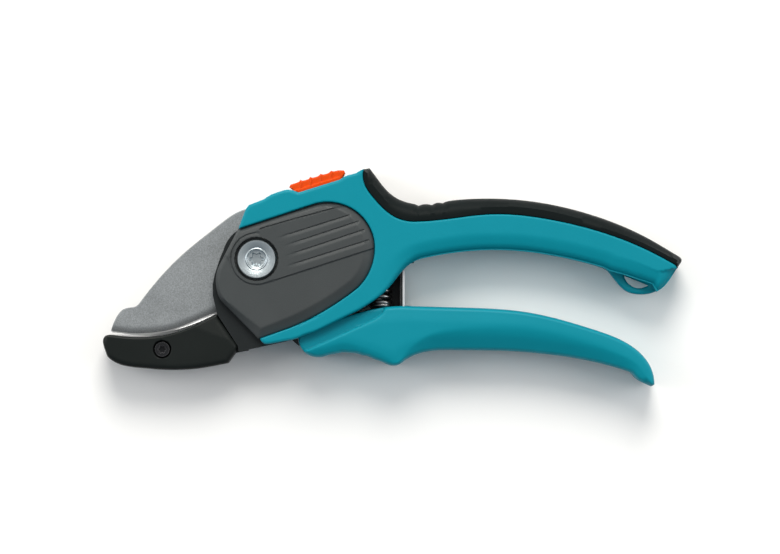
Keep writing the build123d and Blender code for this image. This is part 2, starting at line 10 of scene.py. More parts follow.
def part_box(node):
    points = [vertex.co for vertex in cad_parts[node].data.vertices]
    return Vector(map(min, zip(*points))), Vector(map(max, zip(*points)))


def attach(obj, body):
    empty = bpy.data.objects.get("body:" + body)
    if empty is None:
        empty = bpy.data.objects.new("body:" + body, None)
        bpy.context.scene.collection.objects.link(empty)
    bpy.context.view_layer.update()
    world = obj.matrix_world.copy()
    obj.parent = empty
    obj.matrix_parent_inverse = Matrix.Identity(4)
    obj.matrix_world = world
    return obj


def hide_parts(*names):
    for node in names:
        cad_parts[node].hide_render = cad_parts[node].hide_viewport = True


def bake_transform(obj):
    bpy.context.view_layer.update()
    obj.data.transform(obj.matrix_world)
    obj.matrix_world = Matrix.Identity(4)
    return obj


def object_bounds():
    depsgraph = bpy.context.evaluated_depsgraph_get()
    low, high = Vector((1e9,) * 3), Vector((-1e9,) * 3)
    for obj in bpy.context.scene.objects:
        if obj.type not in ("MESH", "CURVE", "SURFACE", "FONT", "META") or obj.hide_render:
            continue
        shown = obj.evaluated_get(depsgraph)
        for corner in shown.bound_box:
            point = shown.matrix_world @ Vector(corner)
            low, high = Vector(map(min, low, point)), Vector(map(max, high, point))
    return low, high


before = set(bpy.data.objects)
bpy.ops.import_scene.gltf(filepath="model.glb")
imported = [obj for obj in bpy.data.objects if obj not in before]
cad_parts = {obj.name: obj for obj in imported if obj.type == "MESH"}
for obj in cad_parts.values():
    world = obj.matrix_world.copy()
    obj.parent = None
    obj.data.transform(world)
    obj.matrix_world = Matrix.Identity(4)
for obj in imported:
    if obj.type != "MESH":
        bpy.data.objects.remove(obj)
cad_low, cad_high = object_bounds()


# ---------------------------------------------------------------- anvil carrier
# One casting: two cheeks that hold the blade between them, the tongue under the anvil and the lug
# for the lower handle's hinge.  Cast, tumbled and painted satin black, so its edges are soft.

MM = 0.001
middle = (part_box("blade")[0].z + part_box("blade")[1].z) / 2 / MM    # height of the blade's middle plane


def mesh_of(name, form):
    """Mesh made from a finished form, which is then let go."""
    mesh = bpy.data.meshes.new(name)
    form.to_mesh(mesh)
    form.free()
    return mesh


def new_piece(name, mesh, crisp=38):
    """Object for a mesh, smooth except at edges sharper than that many degrees."""
    mesh.shade_smooth()
    mesh.set_sharp_from_angle(angle=math.radians(crisp))
    piece = bpy.data.objects.new(name, mesh)
    bpy.context.scene.collection.objects.link(piece)
    return piece


def softened(name, node, width, segments=3):
    """Copy of a CAD node with its edges broken by that many millimetres."""
    form = bmesh.new()
    form.from_mesh(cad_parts[node].data)
    bmesh.ops.remove_doubles(form, verts=form.verts, dist=1e-6)
    bmesh.ops.dissolve_limit(form, angle_limit=math.radians(1), verts=form.verts, edges=form.edges)
    piece = new_piece(name, mesh_of(name, form), 30)
    bevel = piece.modifiers.new("broken_edges", "BEVEL")
    bevel.width = width * MM
    bevel.segments = segments
    bevel.limit_method = "ANGLE"
    bevel.angle_limit = math.radians(32)
    bevel.harden_normals = True
    return piece


def fit(piece, body, slot, finish, *nodes):
    """Gives a piece its finish and its body, and hides the CAD nodes it stands for."""
    piece.data.materials.clear()
    piece.data.materials.append(finish)
    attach(piece, body)
    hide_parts(*nodes)


def dress(node, finish):
    """Puts a finish on a CAD node that keeps its own shape."""
    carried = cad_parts[node]
    carried.data.materials.clear()
    carried.data.materials.append(finish)


def effect(name, inputs, outputs):
    """Empty shader node group with named number inputs and named outputs."""
    tree = bpy.data.node_groups.new(name, "ShaderNodeTree")
    for label, value in inputs.items():
        socket = tree.interface.new_socket(label, in_out="INPUT", socket_type="NodeSocketFloat")
        socket.default_value = value
    for label in outputs:
        tree.interface.new_socket(label, in_out="OUTPUT", socket_type="NodeSocketFloat")
    return tree, tree.nodes.new("NodeGroupInput"), tree.nodes.new("NodeGroupOutput")


def sum_of(tree, operation, first, second):
    """Math node on two sockets or numbers; returns its result."""
    made = tree.nodes.new("ShaderNodeMath")
    made.operation = operation
    for place, value in enumerate((first, second)):
        if isinstance(value, (int, float)):
            made.inputs[place].default_value = value
        else:
            tree.links.new(value, made.inputs[place])
    return made.outputs[0]


def noise(tree, scale, detail, stretch=(1, 1, 1)):
    """Noise texture in the object's own coordinates; scale is a number or a socket."""
    place = tree.nodes.new("ShaderNodeTexCoord")
    mapping = tree.nodes.new("ShaderNodeMapping")
    mapping.inputs["Scale"].default_value = stretch
    made = tree.nodes.new("ShaderNodeTexNoise")
    made.inputs["Detail"].default_value = detail
    tree.links.new(place.outputs["Object"], mapping.inputs["Vector"])
    tree.links.new(mapping.outputs["Vector"], made.inputs["Vector"])
    if isinstance(scale, (int, float)):
        made.inputs["Scale"].default_value = scale
    else:
        tree.links.new(scale, made.inputs["Scale"])
    return made.outputs["Fac"]


# Fine even texture of a mould wall or a blasted casting, with slow mottling under it.
grain, grain_in, grain_out = effect("surface_grain", {"Fineness": 1800.0}, ("Height", "Mottle"))
fine = noise(grain, grain_in.outputs["Fineness"], 3.0)
slow = noise(grain, sum_of(grain, "MULTIPLY", grain_in.outputs["Fineness"], 0.035), 4.0)
grain.links.new(fine, grain_out.inputs["Height"])
grain.links.new(slow, grain_out.inputs["Mottle"])

# Rubbed edges: where a rounded-off normal leaves the real one, broken up by noise.
rub, rub_in, rub_out = effect("edge_rub", {"Reach": 0.0006, "Strength": 3.0}, ("Mask",))
rounded = rub.nodes.new("ShaderNodeBevel")
rounded.samples = 4
actual = rub.nodes.new("ShaderNodeNewGeometry")
facing = rub.nodes.new("ShaderNodeVectorMath")
facing.operation = "DOT_PRODUCT"
rub.links.new(rub_in.outputs["Reach"], rounded.inputs["Radius"])
rub.links.new(rounded.outputs["Normal"], facing.inputs[0])
rub.links.new(actual.outputs["Normal"], facing.inputs[1])
turned = sum_of(rub, "SUBTRACT", 1.0, facing.outputs["Value"])
broken = sum_of(rub, "MULTIPLY", noise(rub, 700.0, 3.0), rub_in.outputs["Strength"])
worn = sum_of(rub, "MULTIPLY", turned, broken)
rub.links.new(sum_of(rub, "MINIMUM", worn, 1.0), rub_out.inputs["Mask"])

# Fine handling scratches, longest along the object.
marks, marks_in, marks_out = effect("handling_marks", {"Amount": 1.0}, ("Mask",))
streaks = noise(marks, 420.0, 2.0, (0.16, 1.0, 1.0))
crossing = noise(marks, 380.0, 2.0, (1.0, 0.2, 1.0))
lines = sum_of(marks, "MAXIMUM", streaks, crossing)
kept = sum_of(marks, "MULTIPLY", sum_of(marks, "SUBTRACT", lines, 0.66), 9.0)
clear = sum_of(marks, "MAXIMUM", sum_of(marks, "MINIMUM", kept, 1.0), 0.0)
marks.links.new(sum_of(marks, "MULTIPLY", clear, marks_in.outputs["Amount"]), marks_out.inputs["Mask"])


def place_effect(tree, group, **values):
    made = tree.nodes.new("ShaderNodeGroup")
    made.node_tree = group
    for label, value in values.items():
        made.inputs[label].default_value = value
    return made


def tint(tree, share, first, second):
    """Colour between two colours or sockets by a share from 0 to 1."""
    made = tree.nodes.new("ShaderNodeMix")
    made.data_type = "RGBA"
    tree.links.new(share, made.inputs[0])
    for place, value in ((6, first), (7, second)):
        if isinstance(value, tuple):
            made.inputs[place].default_value = (*value, 1.0)
        else:
            tree.links.new(value, made.inputs[place])
    return made.outputs[2]


def surface(name, colour, rough, metal=0.0, fineness=1800.0, depth=0.00002, mottle=0.12, spread=0.12,
            worn=None, wear=2.0, reach=0.0006, scratches=0.4, gloss=0.25, speckle=0.0):
    """Finish with grain, mottled colour and gloss, rubbed edges and light scratches."""
    made = bpy.data.materials.new(name)
    made.use_nodes = True
    tree = made.node_tree
    shader = tree.nodes["Principled BSDF"]
    skin = place_effect(tree, grain, Fineness=fineness)
    edge = place_effect(tree, rub, Reach=reach, Strength=wear)
    handled = place_effect(tree, marks, Amount=scratches)
    deep = tuple(c * (1 - mottle) for c in colour)
    light = tuple(min(1.0, c * (1 + mottle)) for c in colour)
    spots = sum_of(tree, "MULTIPLY", sum_of(tree, "SUBTRACT", skin.outputs["Height"], 0.5), speckle)
    base = tint(tree, sum_of(tree, "ADD", skin.outputs["Mottle"], spots), deep, light)
    bare = worn or tuple(min(1.0, c * 1.35 + 0.02) for c in colour)
    tree.links.new(tint(tree, edge.outputs["Mask"], base, bare), shader.inputs["Base Color"])
    varied = sum_of(tree, "MULTIPLY", skin.outputs["Mottle"], spread * 2)
    rubbed = sum_of(tree, "MULTIPLY", handled.outputs["Mask"], -0.5 * rough)
    level = sum_of(tree, "ADD", sum_of(tree, "ADD", varied, rough - spread), rubbed)
    tree.links.new(level, shader.inputs["Roughness"])
    shader.inputs["Metallic"].default_value = metal
    shader.inputs["Specular IOR Level"].default_value = gloss
    bump = tree.nodes.new("ShaderNodeBump")
    bump.inputs["Distance"].default_value = depth
    scored = sum_of(tree, "MULTIPLY", handled.outputs["Mask"], -0.8)
    tree.links.new(sum_of(tree, "ADD", skin.outputs["Height"], scored), bump.inputs["Height"])
    tree.links.new(bump.outputs["Normal"], shader.inputs["Normal"])
    return made


def recoloured(finish, share, colour):
    """Gives a finish another colour wherever the share reaches 1."""
    tree = finish.node_tree
    shader = tree.nodes["Principled BSDF"]
    painted = shader.inputs["Base Color"].links[0].from_socket
    tree.links.new(tint(tree, share, painted, colour), shader.inputs["Base Color"])


cast_black = surface("cast_black", (0.013, 0.016, 0.017), 0.42, metal=0.1, fineness=1500.0, depth=0.00003,
                     mottle=0.25, worn=(0.08, 0.085, 0.09), wear=1.0, gloss=0.2)
carrier = softened("carrier_casting", "anvil_carrier", 0.5)
fit(carrier, "frame", "carrier_plastic", cast_black, "anvil_carrier")


# ---------------------------------------------------------------- anvil
# Black nylon anvil, moulded as a cap that slides over the carrier's tongue.  Its striking face is
# flat, the flanks are crowned and the heel slopes off towards the cover.  One short screw holds it.

def section(node, height):
    """Closed outlines where a level cut meets a CAD node, in millimetres, largest first.  The
    material lies to the left of each."""
    cut = bmesh.new()
    cut.from_mesh(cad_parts[node].data)
    bmesh.ops.remove_doubles(cut, verts=cut.verts, dist=1e-6)
    found = bmesh.ops.bisect_plane(cut, geom=cut.verts[:] + cut.edges[:] + cut.faces[:], dist=1e-7,
                                   plane_co=(0, 0, height * MM), plane_no=(0, 0, 1))
    beside = {}
    for edge in found["geom_cut"]:
        if isinstance(edge, bmesh.types.BMEdge):
            for here, there in (edge.verts, reversed(edge.verts)):
                beside.setdefault(here, []).append(there)
    loops = []
    while beside:
        here = next(iter(beside))
        loop = []
        while here is not None:
            loop.append((here.co.x / MM, here.co.y / MM))
            onward = [v for v in beside.pop(here) if v in beside]
            here = onward[0] if onward else None
        loops.append(np.array(loop))
    cut.free()
    loops.sort(key=lambda loop: -abs(area(loop)))
    return [loop if (area(loop) > 0) == (place == 0) else loop[::-1] for place, loop in enumerate(loops)]


def area(loop):
    """Area inside a closed outline, positive when it runs anticlockwise."""
    onward = np.roll(loop, -1, axis=0)
    return float(np.sum(loop[:, 0] * onward[:, 1] - loop[:, 1] * onward[:, 0])) / 2


def evenly(loop, step, corner=24):
    """The same closed outline with evenly spaced points.  Corners stay, curves are smoothed."""
    long = np.linalg.norm(loop - np.roll(loop, 1, axis=0), axis=1) > 0.02
    loop = loop[long]
    before = loop - np.roll(loop, 1, axis=0)
    after = np.roll(loop, -1, axis=0) - loop
    turn = np.arctan2(before[:, 0] * after[:, 1] - before[:, 1] * after[:, 0], (before * after).sum(axis=1))
    corners = np.flatnonzero(np.abs(np.degrees(turn)) > corner)
    if len(corners) == 0:
        corners = np.array([0])
    points, fixed = [], []
    for start, stop in zip(corners, np.append(corners[1:], corners[0] + len(loop))):
        run = loop[np.arange(start, stop + 1) % len(loop)]
        along = np.concatenate(([0.0], np.cumsum(np.linalg.norm(np.diff(run, axis=0), axis=1))))
        count = max(1, round(along[-1] / step))
        shares = np.linspace(0, along[-1], count + 1)[:-1]
        points.append(np.column_stack([np.interp(shares, along, run[:, axis]) for axis in (0, 1)]))
        fixed += [True] + [False] * (count - 1)
    points = np.concatenate(points)
    free = ~np.array(fixed)
    for _ in range(4):
        eased = (np.roll(points, 1, axis=0) + 2 * points + np.roll(points, -1, axis=0)) / 4
        points[free] = eased[free]
    return points


def reach(x, y, path, closed=False):
    """Distance from each point to a line of points, and how far it lies to that line's left."""
    start = path if closed else path[:-1]
    stop = np.roll(path, -1, axis=0) if closed else path[1:]
    span = stop - start
    length = np.maximum((span ** 2).sum(axis=1), 1e-12)
    near = np.empty(len(x))
    side = np.empty(len(x))
    for first in range(0, len(x), 2000):
        part = slice(first, first + 2000)
        dx = x[part, None] - start[None, :, 0]
        dy = y[part, None] - start[None, :, 1]
        share = np.clip((dx * span[:, 0] + dy * span[:, 1]) / length, 0, 1)
        far = np.hypot(dx - share * span[:, 0], dy - share * span[:, 1])
        best = far.argmin(axis=1)
        rows = np.arange(len(best))
        near[part] = far[rows, best]
        cross = span[best, 0] * dy[rows, best] - span[best, 1] * dx[rows, best]
        side[part] = np.where(cross >= 0, near[part], -near[part])
    return near, side


def inside(x, y, loops):
    """True where a point lies in the material between the outlines."""
    hits = np.zeros(len(x), int)
    for loop in loops:
        onward = np.roll(loop, -1, axis=0)
        for first in range(0, len(x), 2000):
            part = slice(first, first + 2000)
            low = loop[None, :, 1] > y[part, None]
            high = onward[None, :, 1] > y[part, None]
            rise = np.where(onward[:, 1] == loop[:, 1], 1e-12, onward[:, 1] - loop[:, 1])
            crossing = (onward[:, 0] - loop[:, 0]) * (y[part, None] - loop[:, 1]) / rise + loop[:, 0]
            hits[part] += ((low != high) & (x[part, None] < crossing)).sum(axis=1)
    return hits % 2 == 1


def inward(loop):
    """Unit directions into the material at each point of an outline."""
    along = np.roll(loop, -1, axis=0) - np.roll(loop, 1, axis=0)
    along /= np.maximum(np.linalg.norm(along, axis=1), 1e-9)[:, None]
    return np.column_stack((-along[:, 1], along[:, 0]))


def moulded(name, loops, top, bottom, step=0.7, radius=1.5, lip=0.0, trim=0.0, guides=()):
    """Closed body between two moulded faces.  top and bottom give heights from x, y and the
    distance to the outline; radius is the widest edge rounding; lip draws the foot of the wall in;
    trim draws the whole outline in; guides are lines with offsets where the mesh is finer."""
    loops = [evenly(loop, step) for loop in loops]
    loops = [loop + inward(loop) * trim for loop in loops]
    seeds = [np.concatenate(loops)]
    for turn in (20, 35, 50, 65, 80, 95):
        inset = radius * (1 - math.cos(math.radians(min(turn, 90)))) + (0.4 * step if turn > 90 else 0)
        for loop in loops:
            ring = loop + inward(loop) * inset
            near = np.min([reach(ring[:, 0], ring[:, 1], other, True)[0] for other in loops], axis=0)
            seeds.append(ring[(near > inset * 0.97) & inside(ring[:, 0], ring[:, 1], loops)])
    for path, offsets in guides:
        along = np.gradient(path, axis=0)
        across = np.column_stack((-along[:, 1], along[:, 0])) / np.linalg.norm(along, axis=1)[:, None]
        for offset in offsets:
            line = path + across * offset
            near = np.min([reach(line[:, 0], line[:, 1], other, True)[0] for other in loops], axis=0)
            seeds.append(line[(near > 0.15) & inside(line[:, 0], line[:, 1], loops)])
    low, high = seeds[0].min(axis=0), seeds[0].max(axis=0)
    columns = np.arange(low[0], high[0], step)
    rows = np.arange(low[1], high[1], step * 0.87)
    x, y = np.meshgrid(columns, rows)
    x = x + (np.arange(len(rows)) % 2)[:, None] * step / 2
    x, y = x.ravel(), y.ravel()
    keep = inside(x, y, loops)
    x, y = x[keep], y[keep]
    near = np.min([reach(x, y, loop, True)[0] for loop in loops], axis=0)
    keep = near > radius + 0.8 * step
    seeds.append(np.column_stack((x[keep], y[keep])))
    points = np.concatenate(seeds)
    edges, first = [], 0
    for loop in loops:
        count = len(loop)
        edges += [(first + i, first + (i + 1) % count) for i in range(count)]
        first += count
    flat = delaunay_2d_cdt([Vector(p) for p in points], edges, [], 2, 1e-5)
    spots = np.array([tuple(v) for v in flat[0]])
    centres = np.array([spots[list(face)].mean(axis=0) for face in flat[2]])
    solid = inside(centres[:, 0], centres[:, 1], loops)
    faces = [tuple(face) for face, filled in zip(flat[2], solid) if filled]
    x, y = spots[:, 0], spots[:, 1]
    near = np.min([reach(x, y, loop, True)[0] for loop in loops], axis=0)
    near[near < 1e-4] = 0.0
    upper = np.column_stack((x, y, top(x, y, near)))
    lower = np.column_stack((x, y, bottom(x, y, near)))
    sides = {}
    for face in faces:
        for here, there in zip(face, face[1:] + face[:1]):
            sides[(here, there)] = None
    rim = [(a, b) for a, b in sides if (b, a) not in sides]
    into = np.zeros((len(spots), 2))
    for a, b in rim:
        way = spots[b] - spots[a]
        way = np.array((-way[1], way[0])) / max(np.hypot(*way), 1e-9)
        into[a] += way
        into[b] += way
    into /= np.maximum(np.linalg.norm(into, axis=1), 1e-9)[:, None]
    count = len(spots)
    body = [tuple(p) for p in upper] + [tuple(p) for p in lower]
    skin = list(faces) + [tuple(count + i for i in reversed(face)) for face in faces]
    if lip:
        chine = {}
        for i in sorted({a for a, _ in rim}):
            chine[i] = len(body)
            body.append((x[i], y[i], lower[i, 2] + lip))
            body[count + i] = (x[i] + into[i, 0] * lip * 0.7, y[i] + into[i, 1] * lip * 0.7, lower[i, 2])
        for a, b in rim:
            skin.append((b, a, chine[a], chine[b]))
            skin.append((chine[b], chine[a], count + a, count + b))
    else:
        skin += [(b, a, count + a, count + b) for a, b in rim]
    mesh = bpy.data.meshes.new(name)
    mesh.from_pydata([(px * MM, py * MM, pz * MM) for px, py, pz in body], [], skin)
    mesh.validate()
    form = bmesh.new()
    form.from_mesh(mesh)
    bmesh.ops.recalc_face_normals(form, faces=form.faces)
    form.to_mesh(mesh)
    form.free()
    return new_piece(name, mesh)


def joined_with(piece, other, operation):
    """Cuts, adds or intersects a second solid and removes it."""
    change = piece.modifiers.new(operation.lower(), "BOOLEAN")
    change.operation = operation
    change.solver = "MANIFOLD"
    change.object = other
    graph = bpy.context.evaluated_depsgraph_get()
    made = bpy.data.meshes.new_from_object(piece.evaluated_get(graph))
    piece.modifiers.clear()
    if len(made.polygons) == 0:
        raise RuntimeError("nothing left of " + piece.name)
    piece.data = made
    piece.data.shade_smooth()
    piece.data.set_sharp_from_angle(angle=math.radians(38))
    bpy.data.objects.remove(other)


def within(piece, node):
    """Keeps what the moulded body shares with the CAD node, which has the hollows and holes."""
    form = bmesh.new()
    form.from_mesh(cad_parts[node].data)
    bmesh.ops.remove_doubles(form, verts=form.verts, dist=1e-6)
    other = bpy.data.objects.new(node + "_form", mesh_of(node + "_form", form))
    bpy.context.scene.collection.objects.link(other)
    joined_with(piece, other, "INTERSECT")


def fall(away, radius, depth=None):
    """Drop of a rounded edge at some distance from it."""
    share = np.clip(1 - away / radius, 0, 1)
    return (depth or radius) * (1 - np.sqrt(1 - share ** 2))


def ease(share):
    """Smooth step from 0 to 1."""
    share = np.clip(share, 0, 1)
    return share * share * (3 - 2 * share)


anvil_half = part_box("anvil")[1].z / MM - middle
anvil_edge = 2.0                                 # rounding of the flanks into the underside
heel_line = np.array(((-25.0, -23.6), (-16.0, -27.2), (-6.6, -30.4)))    # crease of the heel's facet
strike_line = ((-53.8, -27.4), (-46.2, -28.2), (-37.8, -28.1), (-29.8, -26.6), (-22.6, -24.0), (-14.4, -19.9))


def anvil_face(x, y, away):
    heel = np.maximum(reach(x, y, heel_line)[1], 0) * ease((x + 27) / 8)
    struck = reach(x, y, np.array(strike_line))[0] < away + 0.4
    edges = np.where(struck, fall(away, 0.45, 0.4), fall(away, anvil_edge, 1.7))
    return middle + anvil_half - 0.01 - edges - 0.18 * heel


anvil = moulded("anvil_cap", section("anvil", middle + anvil_half - 1.8)[:1], anvil_face,
                lambda x, y, away: 2 * middle - anvil_face(x, y, away), 0.6, anvil_edge, trim=0.02)
within(anvil, "anvil")
anvil_black = surface("anvil_black", (0.010, 0.0125, 0.012), 0.36, fineness=1500.0, depth=0.00003,
                      worn=(0.05, 0.055, 0.055), wear=1.0, gloss=0.12)
fit(anvil, "frame", "anvil_plastic", anvil_black, "anvil")

screw_black = surface("screw_black", (0.02, 0.021, 0.023), 0.34, metal=0.6, worn=(0.25, 0.25, 0.26))
anvil_screw = softened("anvil_screw_blacked", "anvil_screw", 0.22)
fit(anvil_screw, "frame", "black_steel", screw_black, "anvil_screw")


# ---------------------------------------------------------------- blade
# Carbon steel blade, stamped, ground to an edge on both faces and coated with a grey low-friction
# film whose fine speckle shows.  A washer on each side keeps it off the cheeks.

blade_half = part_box("blade")[1].z / MM - middle
grind_wide = 3.0
edge_half = 0.16


def curve_through(points, step=0.5):
    """Smooth line of points through a few given ones."""
    points = np.array(points, float)
    ends = np.vstack((2 * points[0] - points[1], points, 2 * points[-1] - points[-2]))
    made = []
    for a, b, c, d in zip(ends[:-3], ends[1:-2], ends[2:-1], ends[3:]):
        share = np.linspace(0, 1, max(2, int(np.linalg.norm(c - b) / step)), endpoint=False)[:, None]
        made.append(0.5 * (2 * b + (c - a) * share + (2 * a - 5 * b + 4 * c - d) * share ** 2
                           + (3 * b - a - 3 * c + d) * share ** 3))
    return np.vstack((*made, points[-1:]))


cutting_edge = curve_through(((-53.4, -26.6), (-43.2, -27.5), (-30.9, -26.0), (-14.6, -19.6), (-8.0, -17.2)))


def blade_face(x, y, away):
    grind = reach(x, y, cutting_edge)[0]
    thin = (blade_half - edge_half) * np.clip(1 - grind / grind_wide, 0, 1) ** 1.6
    return middle + np.maximum(blade_half - 0.01 - fall(away, 0.3, 0.25) * (grind > 0.6) - thin, edge_half)


blade = moulded("blade_plate", section("blade", middle + 0.2), blade_face,
                lambda x, y, away: 2 * middle - blade_face(x, y, away), 0.6, 0.35)
coated = surface("coated_blade", (0.255, 0.272, 0.283), 0.42, metal=0.3, fineness=2600.0, depth=0.00004,
                 mottle=0.22, spread=0.1, worn=(0.62, 0.63, 0.64), wear=1.2, scratches=0.7, speckle=2.5)
tree = coated.node_tree
shape = tree.nodes.new("ShaderNodeNewGeometry")
lean = tree.nodes.new("ShaderNodeSeparateXYZ")
depth = tree.nodes.new("ShaderNodeSeparateXYZ")
tree.links.new(shape.outputs["Normal"], lean.inputs["Vector"])
tree.links.new(shape.outputs["Position"], depth.inputs["Vector"])
sloped = sum_of(tree, "GREATER_THAN", sum_of(tree, "ABSOLUTE", lean.outputs["Z"], 0.0), 0.25)
off_middle = sum_of(tree, "ABSOLUTE", sum_of(tree, "SUBTRACT", depth.outputs["Z"], middle * MM), 0.0)
edge_highlight_half = 0.0005                               # the ground edge, bare steel with a painted near-white highlight, reaches this far from the middle
# Bare steel where the grind nears the middle, painted near-white as a highlight on the edge.
bare_edge_painted_highlight = sum_of(tree, "MULTIPLY", sloped, sum_of(tree, "LESS_THAN", off_middle, edge_highlight_half))
recoloured(coated, bare_edge_painted_highlight, (0.85, 0.86, 0.87))
fit(blade, "blade", "coated_steel", coated, "blade")

bright = surface("bright_steel", (0.52, 0.53, 0.54), 0.24, metal=1.0, fineness=900.0, depth=0.00001,
                 mottle=0.08, spread=0.08, worn=(0.75, 0.76, 0.77), scratches=1.0)
dress("blade_washers", bright)


# ---------------------------------------------------------------- link
# Folded steel link from the lower handle to the blade's tail, with its two pins and the spacers
# that centre it.  Stamped and blackened, but for the web across the gap, whose face is painted bright steel
# as a painted highlight on its bend.

link = softened("link_pressing", "link", 0.3)
blackened = surface("blackened_steel", (0.02, 0.021, 0.022), 0.38, metal=0.7, worn=(0.4, 0.41, 0.42),
                    wear=2.5)
tree = blackened.node_tree
spot = tree.nodes.new("ShaderNodeTexCoord")
axes = tree.nodes.new("ShaderNodeSeparateXYZ")
tree.links.new(spot.outputs["Object"], axes.inputs["Vector"])
web_thick = 0.0016
web_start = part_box("link")[1].x - web_thick
# Painted highlight: the web's face is coloured bright steel where its bend would catch the light.
web_painted_highlight = sum_of(tree, "GREATER_THAN", axes.outputs["X"], web_start)
recoloured(blackened, web_painted_highlight, (0.75, 0.77, 0.79))
fit(link, "link", "black_steel", blackened, "link")
for pin in ("link_pin_upper", "link_pin_lower", "hinge_pin", "link_spacers"):
    dress(pin, bright)


# ---------------------------------------------------------------- housing
# Two teal nylon half shells that form the head and the upper handle.  Glass-filled, with a fine
# spark-eroded texture.  They meet at a shallow V along the middle and are screwed from the back.

shell_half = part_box("housing_front")[1].z / MM - middle    # from the middle plane to the flat faces
teal = surface("teal_nylon", (0.0, 0.222, 0.292), 0.47, fineness=2200.0, depth=0.00003, mottle=0.035,
               spread=0.07, worn=(0.01, 0.27, 0.35), wear=0.9, scratches=0.25, gloss=0.16)
grip_outline = evenly(section("soft_grip", middle)[0], 0.5)
cover_outline = evenly(section("cover_front", middle + 9.0)[0], 0.4)
cover_gap = 0.3
loop_half = 3.1
seat_slot = np.array(((31.7, 30.0), (33.8, 30.9), (35.7, 31.3)))   # shallow cut on the edge by the lock


def curl(x):
    """Rounding of the free edges: tight round the head, wide along the handle."""
    return 1.0 + 1.7 * ease((x - 42) / 18)


def shell_face(x, y, away):
    """Outer face of a half shell, counted from the middle plane."""
    seam = reach(x, y, grip_outline, True)[0]
    free = np.where(seam < away + 0.3, 9.0, away)
    window = np.maximum(reach(x, y, cover_outline, True)[0] - cover_gap, 0)
    groove = fall(np.maximum(seam - 0.1, 0), 0.5)
    edges = np.maximum.reduce((fall(free, curl(x)), groove, fall(window, 0.45, 0.35)))
    keel = 1.3 * ease((x - 42) / 20) * ease(1 - free / 6.5)
    slot = 0.8 * np.clip(1 - reach(x, y, seat_slot)[0] / 0.5, 0, 1)
    return shell_half - 0.02 - edges - keel - slot


main_outline = section("housing_front", middle + 7.5)[:1]
lip_outline = section("housing_front", middle + 9.0)[:1]       # where it laps over the lower handle's nose
loop_outlines = [loop for loop in section("housing_front", middle + 2.0)
                 if abs(area(loop)) > 100 and loop[:, 0].max() > 100 or 10 < abs(area(loop)) < 30]


def half_shell(name, side):
    """One half shell's moulded outside, with the hanging loop and the lap over the lower handle's nose joined
    on.
    """
    faces = (lambda x, y, away: middle + shell_face(x, y, away),
             lambda x, y, away: middle + loop_half - fall(away, 1.1, 1.0),
             lambda x, y, away: np.full(len(x), middle + 0.02))
    if side < 0:
        faces = tuple(lambda x, y, away, up=face: 2 * middle - up(x, y, away) for face in faces)
    cover_guide = np.vstack((cover_outline, cover_outline[:1]))
    guides = [(cover_guide, (-0.35, -0.55, -0.8)), (seat_slot, (-0.5, -0.25, 0.0, 0.25, 0.5))]
    main = moulded(name, main_outline, *((faces[0], faces[2]) if side > 0 else (faces[2], faces[0])),
                   0.65, 2.7, trim=0.02, guides=guides)
    hung = moulded(name + "_loop", loop_outlines,
                   *((faces[1], faces[2]) if side > 0 else (faces[2], faces[1])), 0.65, 1.2, trim=0.02)
    faces = (faces[0], lambda x, y, away: np.full(len(x), middle + side * 8.0))
    lap = moulded(name + "_lap", lip_outline, *(faces if side > 0 else faces[::-1]), 0.65, 1.2, trim=0.02,
                  guides=guides)
    joined_with(main, hung, "UNION")
    joined_with(main, lap, "UNION")
    return main


housing_front = half_shell("front_shell", 1)
within(housing_front, "housing_front")
fit(housing_front, "frame", "teal_plastic", teal, "housing_front")
housing_back = half_shell("back_shell", -1)
within(housing_back, "housing_back")
fit(housing_back, "frame", "teal_plastic", teal, "housing_back")

dress("housing_screws", screw_black)


# ---------------------------------------------------------------- soft grip
# Black thermoplastic rubber moulded over the back of the upper handle.  Its back is full and round,
# its edge meets the nylon in a fine groove, and three ribs under the thumb stop it slipping.

rubber = surface("black_rubber", (0.0055, 0.0085, 0.0088), 0.5, fineness=1300.0, depth=0.00005, mottle=0.2,
                 worn=(0.014, 0.018, 0.018), wear=0.8, scratches=0.15, gloss=0.07)
thumb_ribs = (58.7, 63.4, 67.4)
shell_outline = evenly(main_outline[0], 0.5)


def notched(loop, places, depth, width, upper):
    """Outline with small dips across its upper or lower edge."""
    loop = evenly(loop, 0.35)
    into = inward(loop)
    for place in places:
        edge = (into[:, 1] < -0.5) if upper else (into[:, 1] > 0.5)
        dip = depth * np.exp(-((loop[:, 0] - place) / width) ** 2) * edge
        loop = loop + into * dip[:, None]
    return loop


def grip_face(x, y, away):
    seam = reach(x, y, shell_outline, True)[0]
    free = np.where(seam < away + 0.3, 12.0, away)
    slant = (free - 2) * 0.35
    ribs = sum(0.3 * np.exp(-((x - place + slant) / 0.8) ** 2) for place in thumb_ribs) * (free < 5)
    groove = fall(np.maximum(seam - 0.05, 0), 0.55)
    high = shell_half - 0.02 - np.maximum(fall(free, 4.6, 5.6), groove) - ribs
    return middle + np.maximum(high, 0.2)


ribbed_grip = notched(section("soft_grip", middle)[0], thumb_ribs, 0.55, 0.75, True)
soft_grip = moulded("soft_grip_moulding", [ribbed_grip], grip_face,
                    lambda x, y, away: 2 * middle - grip_face(x, y, away), 0.55, 4.6, trim=0.03)
fit(soft_grip, "frame", "black_rubber", rubber, "soft_grip")


# ---------------------------------------------------------------- lower handle
# One teal nylon moulding.  A finger spur guards the front, the palm side falls away below a soft
# crease, and the nose is stepped in so that it turns inside the housing.

